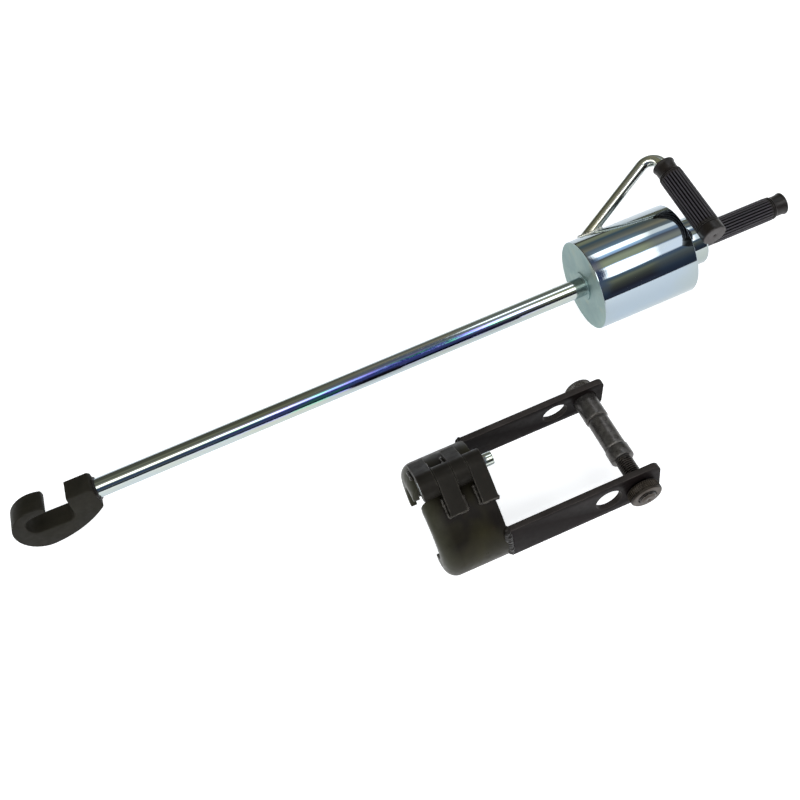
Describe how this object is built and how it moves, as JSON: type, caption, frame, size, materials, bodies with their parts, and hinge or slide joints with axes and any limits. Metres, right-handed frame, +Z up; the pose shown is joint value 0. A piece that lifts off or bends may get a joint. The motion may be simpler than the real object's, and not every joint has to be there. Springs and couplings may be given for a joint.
{
  "type": "slide hammer puller with hinged clamshell jaw",
  "caption": "Workshop slide hammer with a hook end, stop collar and rubber hand grips, shown beside the hinged clamshell jaw and cross pin that its hook pulls on.",
  "frame": {"origin": "on the hammer rod's axis, at the mouth of the hook", "axes": "+X along the rod from the hook to the rear grip, +Z up, +Y from the jaw unit towards the hammer"},
  "size_m": [0.8475, 0.3182, 0.1224],
  "materials": {
    "zinc_rod": "bright zinc plated drawn bar",
    "zinc_turned": "zinc plated, fine turned lines",
    "zinc_handle": "zinc plated bar with a passivation tint",
    "forged_black": "blackened forged steel, dry matt",
    "black_oxide": "blackened steel, oiled, worn at the edges",
    "weld_bead": "blackened weld bead",
    "weld_zinc": "zinc plated weld bead",
    "bush_bronze": "sintered bronze, plated over at the face",
    "rubber_grip": "ribbed black rubber"
  },
  "bodies": {
    "hammer_shaft": {"slide_rod": "zinc_rod", "hook": "forged_black", "hook_weld": "weld_bead", "stop_collar": "zinc_turned", "stop_collar_weld": "weld_zinc", "rear_grip": "rubber_grip"},
    "guide_bush_body": {"guide_bush": "bush_bronze"},
    "weight_body": {"slide_weight": "zinc_turned", "side_handle_bar": "zinc_handle", "side_handle_weld": "weld_zinc", "side_grip": "rubber_grip"},
    "far_jaw": {"far_half_shell": "black_oxide", "far_strap_front": "black_oxide", "far_strap_rear": "black_oxide", "far_strap_welds": "weld_bead", "hinge_pin": "zinc_rod", "far_arm": "black_oxide", "far_arm_weld": "weld_bead"},
    "near_jaw": {"near_half_shell": "black_oxide", "near_strap_front": "black_oxide", "near_strap_rear": "black_oxide", "near_strap_welds": "weld_bead", "near_arm": "black_oxide", "near_arm_weld": "weld_bead"},
    "cross_pin_body": {"cross_pin": "black_oxide"},
    "nut_body": {"knurled_nut": "black_oxide"}
  },
  "joints": [
    {"name": "weight_slide", "type": "slide", "parent": "hammer_shaft", "child": "guide_bush_body", "axis": [-1, 0, 0], "range_m": [0, 0.515]},
    {"name": "weight_spin", "type": "hinge", "parent": "guide_bush_body", "child": "weight_body", "pos_m": [0.6126, 0, 0], "axis": [1, 0, 0], "continuous": true},
    {"name": "jaw_lift", "type": "slide", "parent": "hammer_shaft", "child": "far_jaw", "axis": [0, 0, 1], "range_m": [0, 0.15]},
    {"name": "jaw_hinge", "type": "hinge", "parent": "far_jaw", "child": "near_jaw", "pos_m": [0.346, -0.1748, 0.061], "axis": [-1, 0, 0], "range_deg": [-9, 2]},
    {"name": "cross_pin_tilt", "type": "hinge", "parent": "far_jaw", "child": "cross_pin_body", "pos_m": [0.4944, -0.12362, 0.00334], "axis": [-1, 0, 0], "range_deg": [-4.6, 1.1]},
    {"name": "nut_travel", "type": "slide", "parent": "cross_pin_body", "child": "nut_body", "axis": [0, -1, 0], "range_m": [-0.0098, 0.0023]}
  ],
  "couplings": [
    {"joint": "cross_pin_tilt", "follows": "jaw_hinge", "ratio": 0.5},
    {"joint": "nut_travel", "follows": "jaw_hinge", "m_per_rad": 0.0577}
  ]
}
